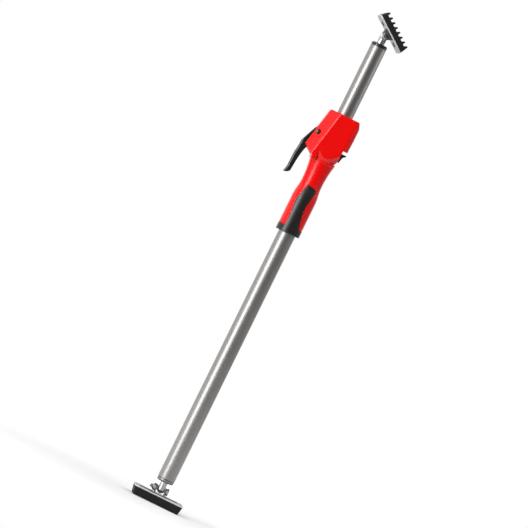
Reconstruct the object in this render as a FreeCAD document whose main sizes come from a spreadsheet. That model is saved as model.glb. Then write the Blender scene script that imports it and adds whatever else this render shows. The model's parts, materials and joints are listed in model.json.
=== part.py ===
import FreeCAD, Part
import Sketcher
import math
import os
import re
from FreeCAD import Placement, Rotation, Vector

# Telescopic prop. Z runs up the tube, X points to the release tab, and the pump lever is on the -X side.
# The origin is on the tube axis, in the plane of the foot pad's rib tips. All sizes are millimetres.

SIZES = {
    "tubes": {
        "outer_radius": 14.0,
        "inner_radius": 12.95,
        "tube_wall": 0.9,
        "outer_top": 596.0,
        "inner_bottom": 180.0,
        "head_pivot_z": 808.0,
        "head_tilt": 37.0,
    },
    "end pads": {
        "pad_long": 82.0,
        "pad_short": 66.0,
        "pad_corner": 6.0,
        "pad_height": 13.3,
        "pad_draft": 10.4,
        "rib_count": 8.0,
        "rib_pitch": 8.35,
        "rib_width": 2.7,
        "rib_height": 4.4,
        "rib_root": 1.3,
        "rib_tip": 0.5,
    },
    "end plates": {
        "plate_thick": 2.0,
        "ear_inner": 6.9,
        "ear_base": 20.0,
        "ear_radius": 5.2,
        "ear_lean": 26.9,
        "pivot_height": 23.5,
        "window_end": 32.0,
        "window_gap": 0.6,
        "slot_near": 14.5,
        "slot_far": 22.0,
        "slot_length": 26.0,
        "window_corner": 2.0,
        "bend_inside": 1.2,
    },
    "pivot bolts": {
        "bolt_radius": 3.0,
        "bolt_clearance": 0.05,
        "hex_flats": 10.0,
        "bolt_head": 4.0,
        "nut_height": 4.6,
        "nut_collar": 1.4,
        "nut_collar_radius": 4.0,
        "bolt_end": 18.6,
        "bolt_point": 0.7,
        "hex_bevel": 0.75,
    },
    "end caps and posts": {
        "post_radius": 6.2,
        "post_top": 60.0,
        "cap_bottom": 36.0,
        "cap_top": 41.5,
        "cap_round": 2.4,
        "cap_joint": 0.6,
        "plug_top": 58.0,
        "plug_clearance": 0.02,
        "plug_lead": 1.0,
    },
    "slider and bush": {
        "slider_length": 14.0,
        "slider_plug": 20.0,
        "slider_play": 0.07,
        "slider_bore": 5.8,
        "bush_play": 0.05,
        "bush_bottom": 661.0,
        "bush_step": 664.0,
        "bush_radius": 16.4,
        "bush_flange": 18.2,
        "bush_sink": 0.4,
    },
    "grip": {
        "collar_bottom": 468.0,
        "collar_top": 479.0,
        "grip_radius": 19.7,
        "grip_straight_top": 526.0,
        "waist_radius": 16.9,
        "waist_z": 555.0,
        "flare_radius": 21.2,
        "flare_z": 594.0,
        "collar_edge": 1.2,
    },
    "grip inlay": {
        "inlay_depth": 1.5,
        "inlay_proud": 0.25,
        "inlay_root": 0.5,
        "inlay_left_x": 9.8,
        "inlay_left_z": 484.0,
        "inlay_left_sweep": 280.0,
        "inlay_bulge_x": 11.9,
        "inlay_bulge_z": 518.0,
        "inlay_bulge_round": 20.0,
        "inlay_turn_x": 11.6,
        "inlay_turn_z": 523.0,
        "inlay_upper_sweep": 150.0,
        "inlay_tip_left_x": 4.6,
        "inlay_tip_left_z": 548.6,
        "inlay_tip_left_round": 3.0,
        "inlay_tip_x": 2.4,
        "inlay_top": 550.0,
        "inlay_tip_sweep": 90.0,
        "inlay_tip_right_x": 10.4,
        "inlay_tip_right_z": 546.0,
        "inlay_tip_right_round": 2.2,
        "inlay_corner_x": 11.7,
        "inlay_corner_z": 543.5,
        "inlay_corner_sweep": 140.0,
        "inlay_waist_x": 8.2,
        "inlay_waist_z": 522.0,
        "inlay_waist_round": 14.0,
        "inlay_hip_x": 7.2,
        "inlay_hip_z": 516.0,
        "inlay_hip_sweep": 110.0,
        "inlay_right_x": 10.9,
        "inlay_right_z": 487.0,
        "inlay_foot_x": 12.9,
    },
    "handle head": {
        "head_depth": 24.0,
        "head_top": 671.0,
        "head_left_top": 24.2,
        "head_right_top": 24.3,
        "head_right": 29.2,
        "side_lean": 0.6,
        "side_lean_height": 20.0,
        "shoulder_z": 660.0,
        "notch_top": 620.4,
        "notch_bottom": 601.0,
        "notch_inner": 20.6,
        "notch_lean": 3.0,
        "head_bottom": 590.0,
        "chin_x": 37.4,
        "chin_z": 606.0,
        "facet_front": 16.6,
        "facet_side": 12.0,
        "right_round": 11.0,
        "ridge_round": 6.0,
        "facet_round": 2.5,
        "corner_round": 3.0,
        "chin_round": 3.6,
        "rim_round": 1.6,
        "step_depth": 1.0,
        "step_height": 2.2,
        "blend_start": 21.0,
        "blend_reach": 36.0,
        "blend_rise": 24.5,
        "blend_sweep": 44.3,
        "blend_turn": 118.0,
        "blend_under": 0.5,
        "blend_round": 7.0,
        "shell_wall": 2.6,
        "side_wall": 6.6,
        "chamber_radius": 17.2,
        "chamber_bottom": 600.0,
        "cavity_bottom": 609.0,
        "cavity_left": 17.1,
        "web_bottom": 624.0,
        "web_top": 627.0,
        "web_right": 23.6,
        "web_root": 1.0,
        "web_sink": 0.2,
        "bore_play": 0.65,
        "bore_bottom": 580.0,
        "cut_over": 1.0,
        "slot_half": 7.0,
        "slot_gap": 1.4,
        "slot_inner_x": 23.0,
        "slot_outer_x": 47.4,
        "slot_low_x": 22.3,
        "slot_throat_x": 20.3,
        "slot_bottom": 586.0,
        "drive_room": 4.0,
        "tab_window": 7.6,
        "tab_window_top": 619.4,
    },
    "lever and pin": {
        "lever_x": 27.3,
        "lever_z": 631.0,
        "lever_width": 12.4,
        "lever_boss": 7.2,
        "boss_lean": 19.9,
        "boss_under": 36.87,
        "lever_round": 3.0,
        "finger_top_x": 44.6,
        "finger_top_z": 608.0,
        "finger_middle_x": 46.4,
        "finger_middle_z": 588.0,
        "finger_sweep": 90.0,
        "finger_low_x": 46.9,
        "finger_low_z": 563.0,
        "finger_tip_x": 48.9,
        "finger_tip_z": 554.6,
        "finger_flick": 24.0,
        "finger_end_x": 46.6,
        "finger_end_z": 552.8,
        "finger_end_round": 1.6,
        "finger_heel_x": 40.2,
        "finger_heel_z": 556.4,
        "finger_heel_sweep": 14.0,
        "finger_back_x": 39.2,
        "finger_back_z": 559.0,
        "finger_back_round": 3.0,
        "finger_inner_x": 38.2,
        "finger_inner_z": 572.0,
        "finger_throat_x": 34.0,
        "finger_throat_z": 598.0,
        "finger_throat_sweep": 160.0,
        "nose_root_x": 19.0,
        "nose_root_drop": 2.0,
        "nose_low_x": 16.0,
        "nose_low_drop": 1.4,
        "nose_tip_x": 15.4,
        "nose_tip_rise": 1.6,
        "nose_tip_round": 3.0,
        "nose_top_x": 17.0,
        "nose_top_rise": 2.7,
        "nose_top_round": 1.8,
        "nose_back_x": 19.6,
        "nose_back_rise": 2.2,
        "nose_neck_x": 22.6,
        "nose_neck_rise": 5.47,
        "pin_radius": 2.5,
        "pin_head": 3.5,
        "pin_room": 0.5,
        "pin_seat": 13.2,
        "pin_rim": 14.0,
        "pin_end": 16.0,
    },
    "clamping plates": {
        "plate_disc": 16.0,
        "plate_hole": 13.65,
        "plate_steel": 4.0,
        "tongue_half": 5.6,
        "drive_z": 636.0,
        "drive_tongue": 20.0,
        "drive_fulcrum_x": 17.0,
        "drive_ledge_left": 15.0,
        "drive_ledge_right": 20.5,
        "ledge_gap": 0.4,
        "brake_fulcrum_x": 16.6,
        "brake_fulcrum_z": 612.0,
        "ledge_left": 21.2,
        "ledge_right": 16.2,
        "ledge_top": 609.6,
        "brake_right": 25.0,
        "brake_tilt": 5.0,
    },
    "release tab": {
        "tab_width": 13.0,
        "tab_round": 1.2,
        "tab_left_x": 20.9,
        "tab_top_z": 615.7,
        "tab_low_z": 602.0,
        "tab_foot_x": 22.0,
        "tab_foot_z": 600.8,
        "tab_front_x": 23.4,
        "tab_front_z": 601.8,
        "tab_throat_x": 24.6,
        "tab_throat_z": 608.4,
        "tab_throat_round": 8.0,
        "tab_tip_x": 29.4,
        "tab_tip_z": 613.6,
        "tab_back_x": 28.7,
    },
    "springs": {
        "spring_radius": 15.0,
        "drive_wire": 0.8,
        "drive_spring_bottom": 639.0,
        "drive_spring_top": 660.0,
        "drive_turns": 4.0,
        "brake_wire": 0.7,
        "brake_spring_bottom": 615.2,
        "brake_spring_top": 623.2,
        "brake_turns": 3.0,
    },
    "shell screws": {
        "screw_radius": 1.9,
        "screw_head": 3.5,
        "screw_head_height": 2.4,
        "screw_reach": 11.0,
        "screw_room": 0.3,
        "boss_radius": 3.8,
        "boss_left": 13.2,
        "boss_right": 20.8,
        "screw_right_x": 23.0,
        "screw_upper_z": 654.0,
        "screw_lower_z": 631.0,
        "screw_left_x": 20.6,
        "screw_left_z": 656.0,
        "seat_right": 19.6,
        "seat_left": 12.2,
    },
}

# Two places closer than this are the same place.
NEAR = 0.01

doc = FreeCAD.newDocument("TelescopicProp")
sheet = doc.addObject("Spreadsheet::Sheet", "Sizes")
aliases = set()


def fill_sheet():
    """Write each group of driving sizes to the sheet, one alias per row."""
    row = 1
    for group, cells in SIZES.items():
        sheet.set(f"A{row}", group)
        row += 1
        for alias, value in cells.items():
            sheet.set(f"A{row}", alias)
            sheet.set(f"B{row}", str(value))
            sheet.setAlias(f"B{row}", alias)
            aliases.add(alias)
            row += 1
    doc.recompute()


fill_sheet()


def bound(expression):
    """The expression with each alias pointing at the sheet."""
    return re.sub(r"[a-z]\w*", lambda word: "Sizes." + word[0] if word[0] in aliases else word[0], expression)


def size(expression):
    """The present value of an expression of aliases."""
    return float(sheet.evalExpression(expression))


def bind(thing, **expressions):
    """Tie properties of a document object to expressions of aliases."""
    for name, expression in expressions.items():
        thing.setExpression(name, bound(expression))


def new_body(label):
    body = doc.addObject("PartDesign::Body", label)
    body.Label = label
    return body


def new_sketch(body, role, offset="0"):
    """A sketch on one of the body's origin planes, moved along the plane's normal by the offset."""
    sketch = body.newObject("Sketcher::SketchObject", body.Name + "_sketch")
    plane = next(item for item in body.Origin.OriginFeatures if item.Role == role)
    sketch.AttachmentSupport = [(plane, "")]
    sketch.MapMode = "FlatFace"
    sketch.AttachmentOffset = Placement(Vector(0, 0, size(offset)), Rotation())
    if offset != "0":
        sketch.setExpression("AttachmentOffset.Base.z", bound(offset))
    return sketch


def fix_point(sketch, geometry, end, across, up):
    """Hold one end of a curve at two coordinates, each given as an expression."""
    for kind, axis, expression in (("DistanceX", -2, across), ("DistanceY", -1, up)):
        value = size(expression)
        if abs(value) < 1e-9:
            sketch.addConstraint(Sketcher.Constraint("PointOnObject", geometry, end, axis))
            continue
        index = sketch.addConstraint(Sketcher.Constraint(kind, -1, 1, geometry, end, value))
        sketch.setExpression(f"Constraints[{index}]", bound(expression))


def arc_curve(start, finish, radius):
    """The shorter arc between two points. A positive radius turns left and a negative one right."""
    chord = finish - start
    middle = (start + finish) * 0.5
    rise = math.sqrt(max(radius * radius - chord.Length * chord.Length / 4.0, 0.0))
    left = Vector(-chord.y, chord.x, 0).normalize()
    centre = middle + left * math.copysign(rise, radius)
    first, last = (start, finish) if radius > 0 else (finish, start)
    angles = [math.atan2(point.y - centre.y, point.x - centre.x) for point in (first, last)]
    if angles[1] < angles[0]:
        angles[1] += 2.0 * math.pi
    return Part.ArcOfCircle(Part.Circle(centre, Vector(0, 0, 1), abs(radius)), angles[0], angles[1])


def outline(sketch, corners):
    """Close a run of corners with lines. A corner's third value is the radius of the arc that leads to it."""
    count = len(corners)
    points = [Vector(size(corner[0]), size(corner[1]), 0) for corner in corners]
    ends = []
    for index in range(count):
        start, finish = points[index - 1], points[index]
        radius = size(corners[index][2]) if len(corners[index]) > 2 else 0.0
        if radius == 0.0:
            geometry = sketch.addGeometry(Part.LineSegment(start, finish))
        else:
            geometry = sketch.addGeometry(arc_curve(start, finish, radius))
            number = sketch.addConstraint(Sketcher.Constraint("Radius", geometry, abs(radius)))
            sketch.setExpression(f"Constraints[{number}]", bound(f"abs({corners[index][2]})"))
        ends.append((geometry, 2 if radius >= 0.0 else 1, 1 if radius >= 0.0 else 2))
    for index in range(count):
        geometry, last, first = ends[index]
        following, following_last, following_first = ends[(index + 1) % count]
        sketch.addConstraint(Sketcher.Constraint("Coincident", geometry, last, following, following_first))
        fix_point(sketch, geometry, last, corners[index][0], corners[index][1])


def circle(sketch, across, up, radius):
    centre = Vector(size(across), size(up), 0)
    geometry = sketch.addGeometry(Part.Circle(centre, Vector(0, 0, 1), size(radius)))
    number = sketch.addConstraint(Sketcher.Constraint("Radius", geometry, size(radius)))
    sketch.setExpression(f"Constraints[{number}]", bound(radius))
    fix_point(sketch, geometry, 3, across, up)


def rectangle(sketch, left, right, low, high):
    outline(sketch, [(left, low), (right, low), (right, high), (left, high)])


def rounded_rectangle(sketch, left, right, low, high, corner):
    outline(sketch, [
        (f"{left} + {corner}", low, corner), (f"{right} - {corner}", low),
        (right, f"{low} + {corner}", corner), (right, f"{high} - {corner}"),
        (f"{right} - {corner}", high, corner), (f"{left} + {corner}", high),
        (left, f"{high} - {corner}", corner), (left, f"{low} + {corner}"),
    ])


def feature(body, kind, sketch, reverse=False, axis="V_Axis", **expressions):
    """Add a sketched feature to the body and make it the tip. A turned one goes round the axis."""
    made = body.newObject("PartDesign::" + kind, body.Name + "_" + kind)
    made.Profile = sketch
    if kind in ("Revolution", "Groove"):
        made.ReferenceAxis = (sketch, [axis])
    made.Reversed = reverse
    bind(made, **expressions)
    sketch.Visibility = False
    body.Tip = made
    doc.recompute()
    return made


def pad(body, sketch, length, reverse=False, both_ways=False):
    made = feature(body, "Pad", sketch, reverse, Length=length)
    made.Midplane = both_ways
    doc.recompute()
    return made


def pocket(body, sketch, length, reverse=False, both_ways=False):
    made = feature(body, "Pocket", sketch, reverse, Length=length)
    made.Midplane = both_ways
    doc.recompute()
    return made


def spin(body, sketch, kind="Revolution", angle="360", reverse=False):
    return feature(body, kind, sketch, reverse, Angle=angle)


def edges_where(shape, test):
    return [f"Edge{number}" for number, edge in enumerate(shape.Edges, 1) if test(edge)]


def dress(body, kind, test, **expressions):
    """Fillet or chamfer the edges of the body that pass the test."""
    base = body.Tip
    made = body.newObject("PartDesign::" + kind, body.Name + "_" + kind)
    made.Base = (base, edges_where(base.Shape, test))
    if "Size2" in expressions:
        made.ChamferType = "Two distances"
    bind(made, **expressions)
    body.Tip = made
    doc.recompute()
    return made


def is_along(edge, direction):
    """True for a straight edge in the given direction."""
    if len(edge.Vertexes) != 2:
        return False
    run = edge.Vertexes[1].Point - edge.Vertexes[0].Point
    return abs(run.Length - edge.Length) < 1e-4 and abs(run.dot(direction)) > 0.999 * run.Length


def boolean(kind, label, *shapes):
    made = doc.addObject("Part::" + kind, label)
    made.Label = label
    if kind in ("MultiFuse", "MultiCommon"):
        made.Shapes = list(shapes)
    else:
        made.Base, made.Tool = shapes
    doc.recompute()
    return made


# Placements of the two ends: the head is the foot turned over, a quarter turn round, and tilted on its bolt.
FOOT = Placement()
TURN_OVER = Rotation(Vector(1, 1, 0), 180)
PIVOT = Vector(0, 0, size("pivot_height"))
AT_PIVOT = Placement(PIVOT, Rotation())
HEAD_PIVOT = Vector(0, 0, size("head_pivot_z"))


def about_head_pivot(rotation):
    return Placement(HEAD_PIVOT - rotation.multVec(PIVOT), rotation)


HEAD_UPRIGHT = about_head_pivot(TURN_OVER)
HEAD_TILTED = about_head_pivot(Rotation(Vector(0, 1, 0), size("head_tilt")).multiply(TURN_OVER))


def rubber_pad(label, place):
    """A drafted block with rounded corners and a row of ribs on its outer face."""
    body = new_body(label)
    top = new_sketch(body, "XY_Plane", "pad_height")
    rounded_rectangle(top, "-pad_long / 2", "pad_long / 2", "-pad_short / 2", "pad_short / 2", "pad_corner")
    block = pad(body, top, "pad_height", reverse=True)
    bind(block, TaperAngle="-pad_draft")
    doc.recompute()
    gap = "(rib_pitch - rib_width) / 2"
    first = "-rib_pitch * (rib_count - 2) / 2"
    groove = new_sketch(body, "YZ_Plane")
    outline(groove, [
        (f"{first} - {gap}", "-rib_root"), (f"{first} + {gap}", "-rib_root"),
        (f"{first} + {gap}", "rib_height - rib_root"),
        (f"{first} + {gap} - rib_root", "rib_height", "rib_root"),
        (f"{first} - {gap} + rib_root", "rib_height"),
        (f"{first} - {gap}", "rib_height - rib_root", "rib_root"),
    ])
    cut = pocket(body, groove, "2 * pad_long", both_ways=True)
    row = body.newObject("PartDesign::LinearPattern", label + "_grooves")
    row.Originals = [cut]
    row.Direction = (next(item for item in body.Origin.OriginFeatures if item.Role == "Y_Axis"), [""])
    bind(row, Length="rib_pitch * (rib_count - 2)", Occurrences="rib_count - 1")
    body.Tip = row
    doc.recompute()
    dress(body, "Fillet", lambda edge: is_along(edge, Vector(1, 0, 0)) and abs(edge.CenterOfMass.z) < NEAR,
          Radius="rib_tip")
    body.Placement = place
    doc.recompute()
    return body


def end_plate(label, place):
    """A flat stamping with two ears bent out of its windows to carry the pivot bolt."""
    body = new_body(label)
    flat = new_sketch(body, "XY_Plane", "pad_height")
    rounded_rectangle(flat, "-pad_long / 2", "pad_long / 2", "-pad_short / 2", "pad_short / 2", "pad_corner")
    pad(body, flat, "plate_thick")
    holes = new_sketch(body, "XY_Plane", "pad_height")
    ear_outer = "ear_inner + plate_thick + window_gap"
    for left, right in (("-window_end", f"-({ear_outer})"), (ear_outer, "window_end")):
        rounded_rectangle(holes, left, right, "-ear_base / 2", "ear_base / 2", "window_corner")
    for low, high in (("-slot_far", "-slot_near"), ("slot_near", "slot_far")):
        rounded_rectangle(holes, "-slot_length / 2", "slot_length / 2", low, high, "window_corner")
    pocket(body, holes, "plate_thick", reverse=True)
    for side, reverse in (("ear_inner", False), ("-ear_inner", True)):
        ear = new_sketch(body, "YZ_Plane", side)
        outline(ear, [
            ("-ear_base / 2", "pad_height"), ("ear_base / 2", "pad_height"),
            ("ear_base / 2", "pad_height + plate_thick"),
            ("ear_radius * cos(ear_lean)", "pivot_height + ear_radius * sin(ear_lean)"),
            ("0", "pivot_height + ear_radius", "ear_radius"),
            ("-ear_radius * cos(ear_lean)", "pivot_height + ear_radius * sin(ear_lean)", "ear_radius"),
            ("-ear_base / 2", "pad_height + plate_thick"),
        ])
        pad(body, ear, "plate_thick", reverse=reverse)
    bore = new_sketch(body, "YZ_Plane")
    circle(bore, "0", "pivot_height", "bolt_radius + bolt_clearance")
    pocket(body, bore, "4 * ear_inner", both_ways=True)
    bend = Vector(size("ear_inner"), 0, size("pad_height + plate_thick"))

    def inside_bend(edge):
        middle = edge.CenterOfMass
        place = Vector(abs(middle.x), 0, middle.z)
        return is_along(edge, Vector(0, 1, 0)) and place.distanceToPoint(bend) < NEAR

    dress(body, "Fillet", inside_bend, Radius="bend_inside")
    body.Placement = place
    return body


def hexagon(sketch, flats):
    corner = f"{flats} / sqrt(3)"
    half = f"{flats} / 2"
    outline(sketch, [
        ("0", f"-{corner}"), (half, f"-{corner} / 2"), (half, f"{corner} / 2"),
        ("0", corner), (f"-{half}", f"{corner} / 2"), (f"-{half}", f"-{corner} / 2"),
    ])


def bevel_hexagon(body, outer, inward):
    """Turn the corners off the outer face of a hexagon that lies across the X axis."""
    ring = new_sketch(body, "XZ_Plane")
    corner = "hex_flats / sqrt(3)"
    outline(ring, [
        (outer, f"{corner} + hex_bevel"), (outer, f"{corner} - 2 * hex_bevel"),
        (f"{outer} {inward} 1.2 * hex_bevel", f"{corner} + hex_bevel"),
    ])
    feature(body, "Groove", ring, Angle="360", axis="H_Axis")


def pivot_bolt(label, place):
    """A hexagon-head bolt along X, its middle at the pivot."""
    body = new_body(label)
    seat = "ear_inner + plate_thick"
    head = new_sketch(body, "YZ_Plane", seat)
    hexagon(head, "hex_flats")
    pad(body, head, "bolt_head")
    bevel_hexagon(body, f"{seat} + bolt_head", "-")
    shank = new_sketch(body, "YZ_Plane", seat)
    circle(shank, "0", "0", "bolt_radius")
    pad(body, shank, f"{seat} + bolt_end", reverse=True)
    end = -size("bolt_end")
    dress(body, "Chamfer", lambda edge: abs(edge.CenterOfMass.x - end) < NEAR, Size="bolt_point")
    body.Placement = place.multiply(AT_PIVOT)
    return body


def lock_nut(label, place):
    """A hexagon nut with the round collar that holds its locking ring."""
    body = new_body(label)
    seat = "-ear_inner - plate_thick"
    flats = new_sketch(body, "YZ_Plane", seat)
    hexagon(flats, "hex_flats")
    pad(body, flats, "nut_height", reverse=True)
    bevel_hexagon(body, f"{seat} - nut_height", "+")
    collar = new_sketch(body, "YZ_Plane", f"{seat} - nut_height")
    circle(collar, "0", "0", "nut_collar_radius")
    pad(body, collar, "nut_collar", reverse=True)
    bore = new_sketch(body, "YZ_Plane", seat)
    circle(bore, "0", "0", "bolt_radius")
    pocket(body, bore, "2 * nut_height")
    body.Placement = place.multiply(AT_PIVOT)
    return body


def ball_post(label, place):
    """A round post whose rounded end is drilled for the pivot bolt."""
    body = new_body(label)
    half = new_sketch(body, "XZ_Plane")
    outline(half, [
        ("0", "pivot_height - post_radius"), ("post_radius", "pivot_height", "post_radius"),
        ("post_radius", "post_top"), ("0", "post_top"),
    ])
    spin(body, half)
    bore = new_sketch(body, "YZ_Plane")
    circle(bore, "0", "pivot_height", "bolt_radius + bolt_clearance")
    pocket(body, bore, "4 * post_radius", both_ways=True)
    body.Placement = place
    return body


def end_cap(label, place, tube_radius):
    """A flanged plug that closes a tube and holds the post."""
    body = new_body(label)
    plug = f"{tube_radius} - tube_wall - plug_clearance"
    half = new_sketch(body, "XZ_Plane")
    outline(half, [
        ("post_radius", "cap_bottom"), (f"{tube_radius} - cap_round", "cap_bottom"),
        (tube_radius, "cap_bottom + cap_round", "cap_round"), (tube_radius, "cap_top - cap_joint"),
        (f"{tube_radius} - cap_joint", "cap_top"), (plug, "cap_top"),
        (plug, "plug_top - plug_lead"), (f"{plug} - plug_lead", "plug_top"),
        ("post_radius", "plug_top"),
    ])
    spin(body, half)
    body.Placement = place
    return body


def tube(label, radius, bottom, top):
    body = new_body(label)
    ring = new_sketch(body, "XY_Plane", bottom)
    circle(ring, "0", "0", radius)
    circle(ring, "0", "0", f"{radius} - tube_wall")
    pad(body, ring, f"{top} - ({bottom})")
    return body


def slider_plug(label):
    """The guide in the lower end of the inner tube, running in the outer tube."""
    body = new_body(label)
    run = "outer_radius - tube_wall - slider_play"
    plug = "inner_radius - tube_wall - plug_clearance"
    half = new_sketch(body, "XZ_Plane")
    outline(half, [
        ("slider_bore", "inner_bottom - slider_length"),
        (f"{run} - plug_lead", "inner_bottom - slider_length"),
        (run, "inner_bottom - slider_length + plug_lead"), (run, "inner_bottom"), (plug, "inner_bottom"),
        (plug, "inner_bottom + slider_plug - plug_lead"),
        (f"{plug} - plug_lead", "inner_bottom + slider_plug"),
        ("slider_bore", "inner_bottom + slider_plug"),
    ])
    spin(body, half)
    return body


def guide_bush(label):
    """The flanged bush that guides the inner tube out of the handle."""
    body = new_body(label)
    half = new_sketch(body, "XZ_Plane")
    outline(half, [
        ("inner_radius + bush_play", "bush_bottom"), ("bush_flange", "bush_bottom"),
        ("bush_flange", "bush_step"), ("bush_radius", "bush_step"), ("bush_radius", "head_top - bush_sink"),
        ("inner_radius + bush_play", "head_top - bush_sink"),
    ])
    spin(body, half)
    return body


def grip_curve(out="0"):
    """Corners of the grip's side from collar to flare, each moved out by the expression."""
    drop = "(waist_z - grip_straight_top)"
    step = "(grip_radius - waist_radius)"
    bend = f"({drop} ^ 2 + {step} ^ 2) / (4 * {step})"
    rise = "(flare_z - waist_z)"
    widen = "(flare_radius - waist_radius)"
    sweep = f"({rise} ^ 2 + {widen} ^ 2) / (2 * {widen})"
    return [
        (f"grip_radius + {out}", "grip_straight_top"),
        (f"(grip_radius + waist_radius) / 2 + {out}", "(grip_straight_top + waist_z) / 2", bend),
        (f"waist_radius + {out}", "waist_z", f"-({bend})"),
        (f"flare_radius + {out}", "flare_z", f"-({sweep})"),
    ]


def grip_sleeve(label):
    """The black collar and the two tongues that lie in the grip, front and rear."""
    collar = new_body("collar")
    ring = new_sketch(collar, "XZ_Plane")
    outline(ring, [
        ("outer_radius", "collar_bottom"), ("grip_radius + inlay_proud - collar_edge", "collar_bottom"),
        ("grip_radius + inlay_proud", "collar_bottom + collar_edge", "collar_edge"),
        ("grip_radius + inlay_proud", "collar_top"), ("outer_radius", "collar_top"),
    ])
    spin(collar, ring)
    skin = new_body("inlay_skin")
    layer = new_sketch(skin, "XZ_Plane")
    outer = grip_curve("inlay_proud")
    inner = grip_curve("(-inlay_depth)")
    outline(layer, [
        (inner[0][0], "collar_top"), (outer[0][0], "collar_top"), outer[0], outer[1], outer[2],
        (inner[2][0], inner[2][1]), (inner[1][0], inner[1][1], inner[2][2][1:]),
        (inner[0][0], inner[0][1], "-" + inner[1][2]),
    ])
    spin(skin, layer)
    tongue = new_body("inlay_tongue")
    front = new_sketch(tongue, "XZ_Plane")
    outline(front, [
        ("-inlay_left_x", "collar_top - inlay_root"), ("inlay_foot_x", "collar_top - inlay_root"),
        ("inlay_right_x", "inlay_right_z"), ("inlay_hip_x", "inlay_hip_z", "-inlay_hip_sweep"),
        ("inlay_waist_x", "inlay_waist_z", "-inlay_waist_round"),
        ("inlay_corner_x", "inlay_corner_z", "-inlay_corner_sweep"),
        ("inlay_tip_right_x", "inlay_tip_right_z", "inlay_tip_right_round"),
        ("-inlay_tip_x", "inlay_top", "inlay_tip_sweep"),
        ("-inlay_tip_left_x", "inlay_tip_left_z", "inlay_tip_left_round"),
        ("-inlay_turn_x", "inlay_turn_z", "inlay_upper_sweep"),
        ("-inlay_bulge_x", "inlay_bulge_z", "inlay_bulge_round"),
        ("-inlay_left_x", "inlay_left_z", "-inlay_left_sweep"),
    ])
    pad(tongue, front, "3 * grip_radius", both_ways=True)
    tongues = boolean("MultiCommon", "inlay_tongues", skin, tongue)
    return boolean("MultiFuse", label, collar, tongues)


HEAD_SLANT = "atan((chin_x - head_left_top) / (head_top - chin_z))"


def round_corners(body):
    """Round the outline at the top of the lever side and at the chin."""
    for across, up, radius in (
        ("-head_left_top", "head_top", "corner_round"), ("-chin_x", "chin_z", "chin_round"),
    ):
        corner = Vector(size(across), 0, size(up))

        def at_corner(edge):
            middle = edge.CenterOfMass
            place = Vector(middle.x, 0, middle.z)
            return is_along(edge, Vector(0, 1, 0)) and place.distanceToPoint(corner) < NEAR

        dress(body, "Fillet", at_corner, Radius=radius)


def slope_facet(body, side):
    """Slice the facet off the lever side, rounded at both its edges. The sketch is square to that side."""
    sign, turn = ("-", "") if side < 0 else ("", "-")
    slice_view = new_sketch(body, "XY_Plane")
    slice_view.AttachmentOffset = Placement(
        Vector(-size("head_left_top"), 0, size("head_top")), Rotation(Vector(0, 1, 0), size(HEAD_SLANT)))
    for path, expression in (
        ("Base.x", "-head_left_top"), ("Base.z", "head_top"), ("Rotation.Angle", HEAD_SLANT),
    ):
        slice_view.setExpression("AttachmentOffset." + path, bound(expression))
    slant = "sqrt(facet_front ^ 2 + facet_side ^ 2)"
    ridge_cut = f"(ridge_round * ({slant} - facet_front) / facet_side)"
    edge_cut = f"(facet_round * ({slant} - facet_side) / facet_front)"
    edge = "(head_depth - facet_side)"
    outline(slice_view, [
        ("0", f"{sign}({edge} - {edge_cut})"),
        (f"{edge_cut} * facet_front / {slant}", f"{sign}({edge} + {edge_cut} * facet_side / {slant})",
         turn + "facet_round"),
        (f"facet_front - {ridge_cut} * facet_front / {slant}",
         f"{sign}(head_depth - {ridge_cut} * facet_side / {slant})"),
        (f"facet_front + {ridge_cut}", f"{sign}head_depth", turn + "ridge_round"),
        (f"facet_front + {ridge_cut}", f"{sign}(head_depth + facet_side)"),
        ("-facet_side", f"{sign}(head_depth + facet_side)"),
        ("-facet_side", f"{sign}({edge} - {edge_cut})"),
    ])
    pocket(body, slice_view, "4 * head_top", both_ways=True)


def round_right_side(body, face):
    """The large rounding of the tab side, and the small step below the head's top."""
    def right_edge(edge):
        middle = edge.CenterOfMass
        on_face = abs(middle.y - face) < NEAR and middle.z < size("shoulder_z")
        return on_face and middle.x > size("(notch_inner + head_right) / 2") \
            and not is_along(edge, Vector(1, 0, 0))

    dress(body, "Fillet", right_edge, Radius="right_round")


def blend_into_grip(body, rear):
    """Sweep the lower part of the head into the flare of the grip, from the tab side to past the front."""
    view = new_sketch(body, "XZ_Plane")
    outline(view, [
        ("blend_start", "head_bottom - blend_under"),
        ("blend_reach", "head_bottom + blend_rise", "-blend_sweep"),
        ("2 * blend_reach", "head_bottom + blend_rise"), ("2 * blend_reach", "head_bottom - blend_under"),
    ])
    spin(body, view, "Groove", angle="blend_turn", reverse=not rear)


def round_blend(body, face):
    """Soften the edge where the sweep runs out into the front face, and the end of the sweep."""
    def blend_edge(edge):
        middle = edge.CenterOfMass
        at_height = size("head_bottom") + NEAR < middle.z < size("head_bottom + blend_rise")
        across = size("-flare_radius") + NEAR < middle.x < size("notch_inner")
        return abs(middle.y - face) < NEAR and at_height and across

    dress(body, "Fillet", blend_edge, Radius="blend_round")


def round_rim(body, face):
    """Round the rim of the face: along the top, round the left corner and down to the chin."""
    def top_edge(edge):
        middle = edge.CenterOfMass
        at_top = abs(middle.y - face) < NEAR and abs(middle.z - size("head_top")) < NEAR
        return at_top and is_along(edge, Vector(1, 0, 0))

    dress(body, "Fillet", top_edge, Radius="rim_round")


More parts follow.
